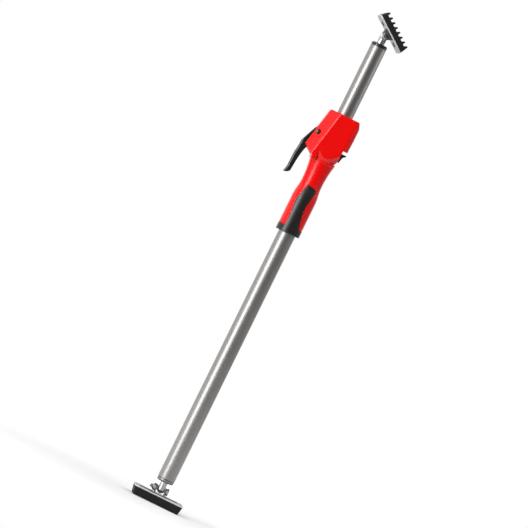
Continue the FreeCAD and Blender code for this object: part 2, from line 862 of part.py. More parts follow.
def handle_half(label, side, sleeve):
    """One moulded half of the handle: head outline, sloping facet, round grip and the chamber inside."""
    rear = side > 0
    face = size("head_depth") * side
    body = new_body(label + "_moulding")
    face_view = new_sketch(body, "XZ_Plane")
    outline(face_view, [
        ("-head_left_top", "head_top"), ("-chin_x", "chin_z"), ("-flare_radius", "flare_z"),
        ("-flare_radius", "head_bottom"), ("flare_radius", "head_bottom"),
        ("notch_inner - notch_lean", "flare_z"), ("notch_inner", "notch_bottom"),
        ("notch_inner", "notch_top"), ("head_right - side_lean", "notch_top"),
        ("head_right", "notch_top + side_lean_height"), ("head_right", "shoulder_z"),
        ("head_right_top", "head_top"),
    ])
    pad(body, face_view, "head_depth", reverse=rear)
    round_right_side(body, face)
    round_corners(body)
    round_rim(body, face)
    slope_facet(body, side)
    blend_into_grip(body, rear)
    round_blend(body, face)
    step = new_sketch(body, "XZ_Plane")
    outline(step, [
        ("head_right + step_depth", "shoulder_z"),
        ("head_right - step_depth", "shoulder_z - step_height / 3"),
        ("head_right + step_depth", "shoulder_z - step_height"),
    ])
    pocket(body, step, "2 * head_depth", reverse=not rear)

    grip = new_sketch(body, "XZ_Plane")
    curve = grip_curve()
    outline(grip, [
        ("outer_radius", "collar_top"), ("grip_radius", "collar_top"), *curve, ("outer_radius", "flare_z"),
    ])
    spin(body, grip, angle="180", reverse=not rear)

    cavity = new_sketch(body, "XZ_Plane")
    slant = "(chin_x - head_left_top) / (head_top - chin_z)"
    low_x = f"-head_left_top - {slant} * (head_top - cavity_bottom) + cavity_left"
    high_x = f"-head_left_top - {slant} * (head_top - bush_bottom) + cavity_left"
    outline(cavity, [
        (high_x, "bush_bottom"), (low_x, "cavity_bottom"), ("notch_inner - shell_wall", "cavity_bottom"),
        ("notch_inner - shell_wall", "notch_top + shell_wall"),
        ("head_right - side_wall", "notch_top + shell_wall"),
        ("head_right - side_wall", "bush_bottom"),
    ])
    pocket(body, cavity, "head_depth - shell_wall", reverse=not rear)
    chamber = new_sketch(body, "XZ_Plane")
    rectangle(chamber, "0", "chamber_radius", "chamber_bottom", "bush_bottom")
    spin(body, chamber, "Groove")

    inside = new_sketch(body, "XZ_Plane")
    rectangle(inside, "-chamber_radius - web_root", "web_right", "web_bottom", "web_top")
    rectangle(inside, "-ledge_left", "-ledge_right", "chamber_bottom - web_root", "ledge_top")
    pad(body, inside, "chamber_radius", reverse=rear)
    ledge = new_sketch(body, "XZ_Plane")
    rectangle(ledge, "drive_ledge_left", "drive_ledge_right", "web_top - web_root",
              "drive_z - plate_steel / 2 - ledge_gap")
    pad(body, ledge, "tongue_half", reverse=rear)
    rest_of_web = new_sketch(body, "XZ_Plane")
    rectangle(rest_of_web, "0", "web_right", "web_bottom", "web_top")
    pad(body, rest_of_web, "head_depth - shell_wall + web_sink", reverse=rear)
    bosses = new_sketch(body, "XZ_Plane")
    for across, up in SCREW_PLACES:
        circle(bosses, across, up, "boss_radius")
    pad(body, bosses, "boss_left", reverse=rear)
    right_bosses = new_sketch(body, "XZ_Plane")
    for across, up in SCREW_PLACES[:2]:
        circle(right_bosses, across, up, "boss_radius")
    pad(body, right_bosses, "boss_right", reverse=rear)

    bore = new_sketch(body, "XZ_Plane")
    outline(bore, [
        ("0", "bore_bottom"), ("outer_radius", "bore_bottom"), ("outer_radius", "outer_top"),
        ("inner_radius + bore_play", "outer_top"), ("inner_radius + bore_play", "bush_bottom"),
        ("bush_flange", "bush_bottom"), ("bush_flange", "bush_step"), ("bush_radius", "bush_step"),
        ("bush_radius", "head_top + cut_over"), ("0", "head_top + cut_over"),
    ])
    spin(body, bore, "Groove")

    lever_slot = new_sketch(body, "XZ_Plane")
    outline(lever_slot, [
        ("-slot_outer_x", "slot_bottom"), ("-slot_low_x", "slot_bottom"),
        ("-slot_throat_x", "web_top - web_root"), ("-inner_radius - bore_play", "web_top - web_root"),
        ("-inner_radius - bore_play", "drive_z + 2 * drive_room"),
        ("-slot_inner_x", "drive_z + 2 * drive_room"), ("-slot_inner_x", "lever_z + lever_boss + slot_gap"),
        ("-slot_outer_x", "lever_z + lever_boss + slot_gap"),
    ])
    pocket(body, lever_slot, "slot_half", reverse=not rear)
    tab_gate = new_sketch(body, "XZ_Plane")
    rectangle(tab_gate, "inner_radius", "notch_inner + cut_over", "chamber_bottom", "tab_window_top")
    pocket(body, tab_gate, "tab_window", reverse=not rear)

    pin_hole = new_sketch(body, "XZ_Plane")
    circle(pin_hole, "-lever_x", "lever_z", "pin_radius")
    pocket(body, pin_hole, "head_depth", reverse=not rear)
    pin_spot = new_sketch(body, "XZ_Plane", "-pin_seat" if rear else "pin_seat")
    circle(pin_spot, "-lever_x", "lever_z", "pin_head + pin_room")
    pocket(body, pin_spot, "head_depth", reverse=not rear)
    screw_holes = new_sketch(body, "XZ_Plane")
    for across, up in SCREW_PLACES:
        circle(screw_holes, across, up, "screw_radius")
    pocket(body, screw_holes, "head_depth" if rear else "screw_reach", reverse=not rear)
    if rear:
        for (across, up), seat in zip(SCREW_PLACES, SCREW_SEATS):
            recess = new_sketch(body, "XZ_Plane", f"-{seat}")
            circle(recess, across, up, "screw_head + screw_room")
            pocket(body, recess, "head_depth", reverse=not rear)
    return boolean("Cut", label, body, sleeve)


SCREW_PLACES = [
    ("screw_right_x", "screw_upper_z"), ("screw_right_x", "screw_lower_z"), ("-screw_left_x", "screw_left_z"),
]
SCREW_SEATS = ["seat_right", "seat_right", "seat_left"]


def shell_screws(label):
    """Pan-head screws from the rear, each head on its seat in the rear shell."""
    made = []
    for (across, up), seat in zip(SCREW_PLACES, SCREW_SEATS):
        screw = new_body("screw")
        half = new_sketch(screw, "XY_Plane")
        outline(half, [
            ("0", "-screw_reach"), ("screw_radius", "-screw_reach"), ("screw_radius", seat),
            ("screw_head", seat), ("screw_head", f"{seat} + screw_head_height / 2"),
            ("screw_head - screw_head_height / 2", f"{seat} + screw_head_height", "screw_head_height / 2"),
            ("0", f"{seat} + screw_head_height"),
        ])
        spin(screw, half)
        screw.Placement = Placement(Vector(size(across), 0, size(up)), Rotation())
        made.append(screw)
    group = doc.addObject("Part::Compound", label)
    group.Label = label
    group.Links = made
    doc.recompute()
    return group


def lever_pin(label):
    """The riveted pin of the pump lever, domed at both ends."""
    body = new_body(label)
    half = new_sketch(body, "XY_Plane")
    dome = "(pin_head ^ 2 + (pin_end - pin_rim) ^ 2) / (2 * (pin_end - pin_rim))"
    outline(half, [
        ("0", "-pin_end"), ("pin_head", "-pin_rim", dome), ("pin_head", "-pin_seat"),
        ("pin_radius", "-pin_seat"), ("pin_radius", "pin_seat"), ("pin_head", "pin_seat"),
        ("pin_head", "pin_rim"), ("0", "pin_end", dome),
    ])
    spin(body, half)
    body.Placement = Placement(Vector(-size("lever_x"), 0, size("lever_z")), Rotation())
    return body


def pump_lever(label):
    """The squeezed lever: a boss on the pin, a nose under the drive plate and a long finger piece."""
    body = new_body(label)
    view = new_sketch(body, "XZ_Plane")
    outline(view, [
        ("-lever_x", "lever_z + lever_boss"),
        ("-lever_x - lever_boss * cos(boss_lean)", "lever_z + lever_boss * sin(boss_lean)", "lever_boss"),
        ("-finger_top_x", "finger_top_z"), ("-finger_middle_x", "finger_middle_z", "-finger_sweep"),
        ("-finger_low_x", "finger_low_z"), ("-finger_tip_x", "finger_tip_z", "-finger_flick"),
        ("-finger_end_x", "finger_end_z", "finger_end_round"),
        ("-finger_heel_x", "finger_heel_z", "finger_heel_sweep"),
        ("-finger_back_x", "finger_back_z", "finger_back_round"), ("-finger_inner_x", "finger_inner_z"),
        ("-finger_throat_x", "finger_throat_z", "-finger_throat_sweep"),
        ("-lever_x + lever_boss * cos(boss_under)", "lever_z - lever_boss * sin(boss_under)"),
        ("-nose_root_x", "lever_z - nose_root_drop"), ("-nose_low_x", "lever_z - nose_low_drop"),
        ("-nose_tip_x", "lever_z + nose_tip_rise", "nose_tip_round"),
        ("-nose_top_x", "lever_z + nose_top_rise", "nose_top_round"),
        ("-nose_back_x", "lever_z + nose_back_rise"), ("-nose_neck_x", "lever_z + nose_neck_rise"),
    ])
    pad(body, view, "lever_width", both_ways=True)
    side = size("lever_width") / 2.0

    def outer_edge(edge):
        middle = edge.CenterOfMass
        on_side = abs(abs(middle.y) - side) < NEAR and middle.z > size("finger_heel_z")
        return on_side and middle.x < -size("(finger_inner_x + finger_middle_x) / 2")

    dress(body, "Fillet", outer_edge, Radius="lever_round")
    bore = new_sketch(body, "XZ_Plane")
    circle(bore, "-lever_x", "lever_z", "pin_radius + bolt_clearance")
    pocket(body, bore, "2 * lever_width", both_ways=True)
    return body


def clamping_plate(label, left, right, fulcrum):
    """A ring with a tongue on each side. One tongue ends in the round edge that the plate turns on."""
    body = new_body(label)
    flat = new_sketch(body, "XY_Plane")
    root = "sqrt(plate_disc ^ 2 - tongue_half ^ 2)"
    outline(flat, [
        (f"-{left}", "tongue_half"), (f"-{left}", "-tongue_half"), (f"-{root}", "-tongue_half"),
        (root, "-tongue_half", "plate_disc"), (right, "-tongue_half"), (right, "tongue_half"),
        (root, "tongue_half"), (f"-{root}", "tongue_half", "plate_disc"),
    ])
    circle(flat, "0", "0", "plate_hole")
    pad(body, flat, "plate_steel", both_ways=True)
    edge = new_sketch(body, "XZ_Plane")
    circle(edge, fulcrum, "0", "plate_steel / 2")
    pad(body, edge, "2 * tongue_half", both_ways=True)
    return body


def drive_plate(label):
    """The clamping plate that the lever's nose tilts, until it bites on the inner tube."""
    body = clamping_plate(label, "drive_tongue", "drive_fulcrum_x", "drive_fulcrum_x")
    body.Placement = Placement(Vector(0, 0, size("drive_z")), Rotation())
    return body


def brake_place():
    """The brake plate's tilt about its fulcrum: the tab side hangs down while it holds the tube."""
    fulcrum = Vector(-size("brake_fulcrum_x"), 0, size("brake_fulcrum_z"))
    tilt = Rotation(Vector(0, 1, 0), size("brake_tilt"))
    level = Vector(0, 0, size("brake_fulcrum_z"))
    return Placement(fulcrum + tilt.multVec(level - fulcrum), tilt)


def brake_plate(label):
    """The clamping plate that holds the inner tube, with a tongue at the fulcrum and one for the tab."""
    body = clamping_plate(label, "brake_fulcrum_x", "brake_right", "-brake_fulcrum_x")
    body.Placement = brake_place()
    return body


def release_tab(label, plate):
    """The moulded thumb tab on the brake plate's tongue, with a hollow underside."""
    body = new_body("tab_block")
    view = new_sketch(body, "XZ_Plane")
    outline(view, [
        ("tab_left_x", "tab_top_z"), ("tab_left_x", "tab_low_z"), ("tab_foot_x", "tab_foot_z", "tab_round"),
        ("tab_front_x", "tab_front_z", "tab_round"), ("tab_throat_x", "tab_throat_z"),
        ("tab_tip_x", "tab_tip_z", "-tab_throat_round"), ("tab_back_x", "tab_top_z", "tab_round"),
    ])
    pad(body, view, "tab_width", both_ways=True)
    return boolean("Cut", label, body, plate)


def coil_spring(label, bottom, top, turns, wire):
    """A round wire swept along half turns about the tube. Each is a half circle that climbs half a pitch."""
    radius = size("spring_radius")
    low = size(bottom)
    climb = size(f"({top} - {bottom}) / (2 * {turns})")
    reach = math.hypot(radius, climb / 2.0)
    arcs = []
    for number in range(int(2 * size(turns))):
        side = 1 if number % 2 == 0 else -1
        start = Vector(side * radius, 0, low + number * climb)
        middle = Vector(0, side * reach, low + (number + 0.5) * climb)
        finish = Vector(-side * radius, 0, low + (number + 1) * climb)
        arcs.append(Part.Arc(start, middle, finish).toShape())
    path = doc.addObject("Part::Feature", label + "_path")
    path.Shape = Part.Wire(arcs)
    ring = doc.addObject("Part::Circle", label + "_wire")
    bind(ring, Radius=wire)
    ring.Placement = Placement(Vector(radius, 0, low), Rotation(Vector(1, 0, 0), 90))
    doc.recompute()
    sweep = doc.addObject("Part::Sweep", label)
    sweep.Label = label
    sweep.Sections = [ring]
    sweep.Spine = (path, [f"Edge{number}" for number in range(1, len(arcs) + 1)])
    sweep.Solid = True
    doc.recompute()
    return sweep


def build():
    pieces = []
    for end, tilted, upright, radius in (
        ("foot", FOOT, FOOT, "outer_radius"), ("head", HEAD_TILTED, HEAD_UPRIGHT, "inner_radius"),
    ):
        pieces.append(rubber_pad(end + "_pad", tilted))
        pieces.append(end_plate(end + "_plate", tilted))
        pieces.append(pivot_bolt(end + "_pivot_bolt", tilted))
        pieces.append(lock_nut(end + "_pivot_nut", tilted))
        pieces.append(ball_post(end + "_post", upright))
        pieces.append(end_cap(end + "_end_cap", upright, radius))
    pieces.append(tube("outer_tube", "outer_radius", "cap_top", "outer_top"))
    pieces.append(tube("inner_tube", "inner_radius", "inner_bottom", "head_pivot_z + pivot_height - cap_top"))
    pieces.append(slider_plug("inner_tube_slider"))
    pieces.append(guide_bush("guide_bush"))
    sleeve = grip_sleeve("grip_sleeve")
    pieces.append(sleeve)
    pieces.append(handle_half("handle_front_shell", -1, sleeve))
    pieces.append(handle_half("handle_rear_shell", 1, sleeve))
    pieces.append(shell_screws("shell_screws"))
    pieces.append(lever_pin("lever_pin"))
    pieces.append(pump_lever("pump_lever"))
    pieces.append(drive_plate("drive_plate"))
    brake = brake_plate("brake_plate")
    pieces.append(brake)
    pieces.append(release_tab("release_tab", brake))
    pieces.append(coil_spring(
        "drive_spring", "drive_spring_bottom", "drive_spring_top", "drive_turns", "drive_wire"))
    pieces.append(coil_spring(
        "brake_spring", "brake_spring_bottom", "brake_spring_top", "brake_turns", "brake_wire"))
    return pieces


def check(pieces):
    """Stop on any feature in error and on any piece that isn't a sound solid."""
    doc.recompute()
    for thing in doc.Objects:
        if "Invalid" in thing.State or "Error" in thing.State:
            raise RuntimeError(f"{thing.Label} didn't build: {thing.State}")
    for piece in pieces:
        if piece.Shape.isNull() or not piece.Shape.isValid() or not piece.Shape.Solids:
            raise RuntimeError(f"{piece.Label} isn't a sound solid")


def save(pieces):
    os.makedirs("parts", exist_ok=True)
    for piece in pieces:
        piece.Shape.exportStep(os.path.join("parts", piece.Label + ".step"))


pieces = build()
check(pieces)
save(pieces)
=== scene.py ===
import json
import math

import bpy
import numpy as np
from mathutils import Matrix, Vector

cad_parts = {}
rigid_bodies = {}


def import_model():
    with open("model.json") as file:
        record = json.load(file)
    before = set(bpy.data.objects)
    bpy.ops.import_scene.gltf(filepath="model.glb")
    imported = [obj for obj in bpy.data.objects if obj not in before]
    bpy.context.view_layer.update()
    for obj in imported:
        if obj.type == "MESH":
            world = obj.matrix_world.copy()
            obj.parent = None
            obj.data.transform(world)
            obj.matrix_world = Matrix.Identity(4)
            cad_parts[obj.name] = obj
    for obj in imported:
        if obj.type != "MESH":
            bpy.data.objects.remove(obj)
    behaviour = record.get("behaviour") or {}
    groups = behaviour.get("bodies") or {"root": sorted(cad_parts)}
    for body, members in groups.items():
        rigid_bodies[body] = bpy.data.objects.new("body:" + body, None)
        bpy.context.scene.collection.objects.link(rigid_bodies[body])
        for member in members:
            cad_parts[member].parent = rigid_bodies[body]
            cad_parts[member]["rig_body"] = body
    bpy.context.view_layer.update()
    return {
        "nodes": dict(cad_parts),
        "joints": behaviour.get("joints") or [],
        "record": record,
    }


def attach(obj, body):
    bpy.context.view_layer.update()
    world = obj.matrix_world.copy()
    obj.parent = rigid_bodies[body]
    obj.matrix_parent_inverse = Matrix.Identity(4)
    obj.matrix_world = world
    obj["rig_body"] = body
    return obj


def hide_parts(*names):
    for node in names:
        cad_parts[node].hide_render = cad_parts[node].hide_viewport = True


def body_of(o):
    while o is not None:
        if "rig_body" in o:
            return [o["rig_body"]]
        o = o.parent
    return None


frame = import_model()
NODES = frame["nodes"]
PIVOTS = {joint["name"]: Vector(joint["pos_m"]) for joint in frame["joints"] if "pos_m" in joint}
MM = 0.001
ORIGIN = (0.0, 0.0, 0.0)
UNTURNED = Matrix.Identity(3)

# The viewpoint: a long lens, a little to the lever's side, rolled so that the prop leans to the right.
VIEW_DISTANCE = 10.0
VIEW_AZIMUTH = math.radians(-3.5)
VIEW_ELEVATION = math.radians(0.6)
VIEW_ROLL = math.radians(26.2)
VIEW_AIM = Vector((-0.0111, 0.0, 0.409))
FRAME_WIDTH = 0.821
SENSOR_WIDTH = 36.0

# The two ends: the head is the foot turned over, a quarter turn round, and tilted on its bolt.
FOOT_PIVOT = PIVOTS["foot_tilt"]
HEAD_PIVOT = PIVOTS["head_tilt"]
HEAD_TILT = math.radians(37.0)
TURN_OVER = Matrix.Rotation(math.pi, 3, Vector((1.0, 1.0, 0.0)).normalized())
HEAD_TURN = Matrix.Rotation(HEAD_TILT, 3, "Y") @ TURN_OVER

# The pivot bolts, in millimetres: places along the axis from the pivot, then the round sizes.
BOLT_END = -18.6
BOLT_SEAT = 8.9
BOLT_HEAD = 4.0
BOLT_RADIUS = 3.0
BOLT_POINT = 0.9
BOLT_COLUMNS = 72

# The bolts' hexagon: over the flats, how far the cone turns the corners off, and the cone's run per rise.
HEX_SIDES = 6
HEX_FLATS = 10.0
HEX_BEVEL = 0.75
HEX_CONE = 2.5
HEX_ROWS = 24

# The bolts' thread. The flat is the share of its depth that is cut off at the crest and at the root.
THREAD_PITCH = 1.0
THREAD_DEPTH = 0.52
THREAD_FLAT = 0.125
THREAD_ROWS = 160

# The shell screws, in millimetres: places across and up, and how far each seat is behind the parting plane.
SCREWS = ((23.0, 654.0, 19.6), (23.0, 631.0, 19.6), (-20.6, 656.0, 12.2))
SCREW_REACH = 11.0
SCREW_POINT = 1.0
SCREW_TIP = 0.95
SCREW_RADIUS = 1.9
SCREW_HEAD = 3.5
SCREW_COLUMNS = 96

# The screws' domes: height, the share of it that is upright rim, and where on the radius the rows stop.
DOME_HEIGHT = 2.4
DOME_RIM = 0.45
DOME_MIDDLE = 0.02
DOME_ROWS = 44

# The screws' cross recesses: an arm's half length, half width and depth, and the run of its sides and ends.
RECESS_REACH = 2.1
RECESS_WIDTH = 0.72
RECESS_DEPTH = 1.3
RECESS_SIDE = 0.3
RECESS_END = 0.9

# New pieces are smooth where their faces meet at less than this.
SHARP_ANGLE = math.radians(35.0)

# The end plates in the foot plate's own place, in millimetres: heights of the sheet's two faces and the
# skin left on each, half sizes of the field of windows, and half sizes over the ears.
# These bound the painted shade on the windows' cut walls and the painted highlight on the sheet's outer
# edges.
SHEET_LOW = 13.3
SHEET_HIGH = 15.3
SHEET_SKIN = 0.06
WINDOW_FAR = 36.0
WINDOW_WIDE = 26.0
EAR_OUTER = 9.3
EAR_HALF = 11.0

# In millimetres: the height of the foot cap's joint with the tube, and the half width of the parting line.
# Above this height the cap is painted near black: painted shade in its joint with the tube.
CAP_JOINT = 40.8
# Over this half width the parting line is painted dark as painted shade and sunk by the bump as a groove.
SEAM_HALF = 0.2

# The floor: its radius in metres, its sides, and how much of its white is there whatever light falls on it.
FLOOR_RADIUS = 0.9
FLOOR_SIDES = 96
FLOOR_GLOW = 0.19

# The room's light. Each part has a bearing in degrees from the front towards the right, a power that
# narrows it, and a strength, which is below zero for a dim place. The window is narrow in height too.
ROOM_FILL = 0.19
ROOM_PARTS = {
    "left_wall": (-103.0, 1.7, 0.78),
    "window_frame": (-48.0, 12.0, 0.25),
    "right_wall": (104.0, 8.0, 0.2),
    "dim_corner": (-74.0, 60.0, -0.6),
    "dim_front": (10.0, 14.0, -0.1),
}
CEILING = 0.3
WINDOW = (-47.0, 55.0, 9.0)
WINDOW_LEVEL = 7.0

# The white behind the prop: its bearing, where and how fast it fades in, and the rays that see it.
BACKDROP = (180.0, 1.0, 1.0)
BACKDROP_EDGE = 0.6
BACKDROP_FADE = 5.0
BACKGROUND_RAYS = ("Is Camera Ray", "Is Glossy Ray", "Is Transmission Ray")

# The lamps: place and size in metres, power in watts, and whether they show in reflections.
LAMP_AIM = Vector((0.0, 0.0, 0.42))
LAMPS = {
    "front_key": ((-2.05, -2.0, 2.0), 1.6, 42.0, False),
    "side_fill": ((2.3, -1.2, 1.2), 1.5, 13.0, False),
    "rear_fill": ((1.0, 2.4, 1.7), 2.0, 34.0, False),
    "right_card": ((0.9, 0.05, 0.98), 0.5, 1.3, True),
}

WHITE = (1.0, 1.0, 1.0, 1.0)
STEEL_TINT = (1.0, 0.975, 0.955)
ZINC_TINT = (1.0, 1.0, 1.02)
EDGE_SAMPLES = 6


class Wire:
    """One socket of a node tree; arithmetic on it adds Math nodes."""

    def __init__(self, tree, socket):
        self.tree = tree
        self.socket = socket

    def math(self, operation, first, second=0.0):
        """A Math node on two wires or numbers."""
        made = self.tree.nodes.new("ShaderNodeMath")
        made.operation = operation
        for place, value in enumerate((first, second)):
            if isinstance(value, Wire):
                self.tree.links.new(value.socket, made.inputs[place])
            else:
                made.inputs[place].default_value = value
        return Wire(self.tree, made.outputs[0])

    def __add__(self, other):
        return self.math("ADD", self, other)

    __radd__ = __add__

    def __mul__(self, other):
        return self.math("MULTIPLY", self, other)

    __rmul__ = __mul__

    def __sub__(self, other):
        return self.math("SUBTRACT", self, other)

    def __rsub__(self, other):
        return self.math("SUBTRACT", other, self)

    def __pow__(self, other):
        return self.math("POWER", self, other)

    def __gt__(self, other):
        return self.math("GREATER_THAN", self, other)

    def __lt__(self, other):
        return self.math("LESS_THAN", self, other)

    def __abs__(self):
        return self.math("ABSOLUTE", self)

    def at_least(self, other):
        return self.math("MAXIMUM", self, other)

    def at_most(self, other):
        return self.math("MINIMUM", self, other)


class Finish:
    """A material under construction, with one method that makes any node."""

    def __init__(self, name, tree=None):
        if tree is None:
            self.material = bpy.data.materials.new(name)
            self.material.use_nodes = True
            tree = self.material.node_tree
        self.tree = tree
        self.shader = next((item for item in tree.nodes if item.type == "BSDF_PRINCIPLED"), None)

    def node(self, kind, settings=None, output=0, **sockets):
        """Make a node, apply its settings, then fill its sockets with values or links."""
        made = self.tree.nodes.new("ShaderNode" + kind)
        for name, value in (settings or {}).items():
            if name == "stops":
                for stop, (place, colour) in zip(made.color_ramp.elements, value):
                    stop.position = place
                    stop.color = colour
            else:
                setattr(made, name, value)
        for name, value in sockets.items():
            socket = made.inputs[int(name)] if name.isdigit() else made.inputs[name.replace("_", " ")]
            self.fill(socket, value)
        return Wire(self.tree, made.outputs[output])

    def fill(self, socket, value):
        """Link a wire to the socket, or set its value."""
        if isinstance(value, Wire):
            self.tree.links.new(value.socket, socket)
        else:
            socket.default_value = value

    def set(self, **sockets):
        """Fill the shader's own sockets, by name."""
        for name, value in sockets.items():
            self.fill(self.shader.inputs[name.replace("_", " ")], value)

    def place(self, scale=(1.0, 1.0, 1.0)):
        """Object coordinates in metres, stretched."""
        coordinates = self.node("TexCoord", output="Object")
        return self.node("Mapping", Vector=coordinates, Scale=scale)

    def within(self, origin=ORIGIN, turn=UNTURNED):
        """Object coordinates seen from a moved and turned place, as three wires in millimetres."""
        coordinates = self.node("TexCoord", output="Object")
        moved = self.node("Mapping", {"vector_type": "TEXTURE"}, Vector=coordinates, Location=origin,
                          Rotation=turn.to_euler(), Scale=(MM, MM, MM))
        return [self.node("SeparateXYZ", Vector=moved, output=axis) for axis in "XYZ"]

    def noise(self, where, scale, detail):
        """Soft noise from 0 to 1 with about that many grains per metre."""
        return self.node("TexNoise", Vector=where, Scale=scale, Detail=detail)

    def shades(self, amount, dark, light):
        """A colour between two, by an amount from 0 to 1."""
        return self.node("ValToRGB", {"stops": [(0.0, dark), (1.0, light)]}, Fac=amount)

    def mix(self, amount, first, second):
        """The first colour where the amount is 0 and the second where it is 1."""
        return self.node("Mix", {"data_type": "RGBA"}, 2, **{"0": amount, "6": first, "7": second})

    def bump(self, height, strength, depth=0.2, edge=0.4):
        """A fine relief of a depth over edges rounded by a radius, both in millimetres."""
        rounded = self.node("Bevel", {"samples": EDGE_SAMPLES}, Radius=edge * MM)
        return self.node("Bump", Height=height, Strength=strength, Distance=depth * MM, Normal=rounded)


def grey(value, tint=(1.0, 1.0, 1.0)):
    """A grey of that value, tinted, as a colour with alpha."""
    return (value * tint[0], value * tint[1], value * tint[2], 1.0)


def tube_steel():
    """Zinc-plated drawn tube: fine streaks along its length, a soft cloudiness and a few rub marks."""
    made = Finish("tube_steel")
    streaks = made.noise(made.place((1.0, 1.0, 0.012)), scale=900.0, detail=3.0)
    cloud = made.noise(made.place((1.0, 1.0, 0.25)), scale=60.0, detail=4.0)
    rubs = (made.noise(made.place((1.0, 1.0, 0.06)), scale=240.0, detail=5.0) - 0.62).at_least(0.0) * 2.0
    steel = made.shades(streaks * 0.5 + cloud * 0.5, grey(0.34, STEEL_TINT), grey(0.42, STEEL_TINT))
    made.set(
        Base_Color=steel,
        Metallic=1.0,
        Roughness=0.375 + streaks * 0.04 + cloud * 0.05 + rubs * 0.1,
        Normal=made.bump(streaks, strength=0.015),
    )
    return made.material


def zinc_sheet(name, origin, turn):
    """Pressed sheet steel with bright zinc and faint spangle; its windows' cut walls are painted near black
    as painted shade and its outer cut edges painted pale as a painted highlight.
    """
    made = Finish(name)
    grain = made.noise(made.place(), scale=420.0, detail=3.0)
    spangle = made.node("TexVoronoi", Vector=made.place(), Scale=160.0)
    across, deep, high = made.within(origin, turn)
    in_sheet = (high > SHEET_LOW + SHEET_SKIN) * (high < SHEET_HIGH - SHEET_SKIN)
    in_window = (abs(across) < WINDOW_FAR) * (abs(deep) < WINDOW_WIDE)
    off_ears = (abs(across) > EAR_OUTER).at_least(abs(deep) > EAR_HALF)
    # Painted shade: the windows' cut walls, off the ears, are near black, matte and not metallic.
    painted_shade_walls = in_sheet * in_window * off_ears
    # Painted highlight: the sheet's outer cut edges are pale and less metallic, as if lit.
    rim = in_sheet * (1.0 - in_window)
    zinc = made.shades(grain * 0.6 + spangle * 0.4, grey(0.28), grey(0.42, ZINC_TINT))
    made.set(
        Base_Color=made.mix(painted_shade_walls, made.mix(rim, zinc, grey(0.78)), grey(0.004)),
        Metallic=1.0 - rim * 0.45 - painted_shade_walls,
        Roughness=0.38 + grain * 0.12 + painted_shade_walls * 0.5,
        Normal=made.bump(grain, strength=0.08, edge=0.5),
    )
    return made.material


def foot_sheet():
    """The foot plate's sheet, as it lies."""
    return zinc_sheet("zinc_sheet_foot", ORIGIN, UNTURNED)


def head_sheet():
    """The head plate's sheet: the foot's, carried from one pivot to the other by the head's turn."""
    return zinc_sheet("zinc_sheet_head", HEAD_PIVOT - HEAD_TURN @ FOOT_PIVOT, HEAD_TURN)


def bolt_zinc():
    """Bright zinc on turned and rolled steel."""
    made = Finish("bolt_zinc")
    grain = made.noise(made.place(), scale=700.0, detail=3.0)
    made.set(
        Base_Color=made.shades(grain, grey(0.46), grey(0.68)),
        Metallic=1.0,
        Roughness=0.22 + grain * 0.14,
        Normal=made.bump(grain, strength=0.1, edge=0.3),
    )
    return made.material


def dark_pin():
    """The lever's pin: blackened and polished by its bore."""
    made = Finish("dark_pin")
    grain = made.noise(made.place(), scale=900.0, detail=3.0)
    made.set(
        Base_Color=made.shades(grain, grey(0.1), grey(0.2)),
        Metallic=1.0,
        Roughness=0.16 + grain * 0.1,
        Normal=made.bump(grain, strength=0.06, edge=0.6),
    )
    return made.material


def cast_cap():
    """The foot's grey metal cap, dull and slightly grainy, painted near black above its joint with the tube
    as painted shade.
    """
    made = Finish("cast_cap")
    grain = made.noise(made.place(), scale=1100.0, detail=4.0)
    high = made.within()[2]
    metal = made.shades(grain, grey(0.24), grey(0.34))
    made.set(
        # Painted shade: near black above the joint height, where the cap meets the tube.
        Base_Color=made.mix(high > CAP_JOINT, metal, grey(0.02)),
        Metallic=1.0,
        Roughness=0.34 + grain * 0.12,
        Normal=made.bump(grain, strength=0.15, depth=0.3),
    )
    return made.material


def red_moulding():
    """Glossy red moulded plastic: a very fine grain, and a fine groove where the two halves meet, painted
    dark along its line as painted shade.
    """
    made = Finish("red_moulding")
    grain = made.noise(made.place(), scale=2600.0, detail=2.0)
    flow = made.noise(made.place((1.0, 1.0, 0.5)), scale=45.0, detail=3.0)
    deep = made.within()[1]
    # Painted shade: a dark line along the parting plane, which the bump also sinks as a groove.
    seam_groove_and_shade = (1.0 - abs(deep) * (1.0 / SEAM_HALF)).at_least(0.0)
    red = made.shades(flow, (0.75, 0.0008, 0.0003, 1.0), (0.83, 0.0012, 0.0005, 1.0))
    made.set(
        Base_Color=made.mix(seam_groove_and_shade, red, (0.12, 0.001, 0.001, 1.0)),
        Roughness=0.2 + grain * 0.04 + flow * 0.04,
        Normal=made.bump(grain * 0.1 - seam_groove_and_shade, strength=0.2, depth=0.3, edge=2.2),
        Specular_IOR_Level=0.4,
    )
    return made.material


def black_plastic(name, gloss):
    """Black moulded plastic, a little glossy, with a polish of the given weight."""
    made = Finish(name)
    grain = made.noise(made.place(), scale=2200.0, detail=2.0)
    flow = made.noise(made.place(), scale=70.0, detail=3.0)
    made.set(
        Base_Color=made.shades(flow, grey(0.005), grey(0.009)),
        Roughness=0.2 + grain * 0.06,
        Normal=made.bump(grain, strength=0.05, edge=2.0),
        Specular_IOR_Level=0.8,
        Coat_Weight=gloss,
        Coat_Roughness=0.22,
    )
    return made.material


def black_moulding():
    """Black moulded plastic as it comes from the mould."""
    return black_plastic("black_moulding", 0.0)


def lever_moulding():
    """The lever, polished by fingers."""
    return black_plastic("lever_moulding", 0.2)


def soft_grip():
    """Black soft grip: satin and finely pebbled."""
    made = Finish("soft_grip")
    pebble = made.node("TexVoronoi", Vector=made.place(), Scale=1500.0)
    flow = made.noise(made.place(), scale=90.0, detail=3.0)
    made.set(
        Base_Color=made.shades(flow, grey(0.007), grey(0.012)),
        Roughness=0.27 + flow * 0.1,
        Normal=made.bump(pebble, strength=0.08, depth=0.3, edge=0.3),
        Specular_IOR_Level=0.6,
    )
    return made.material


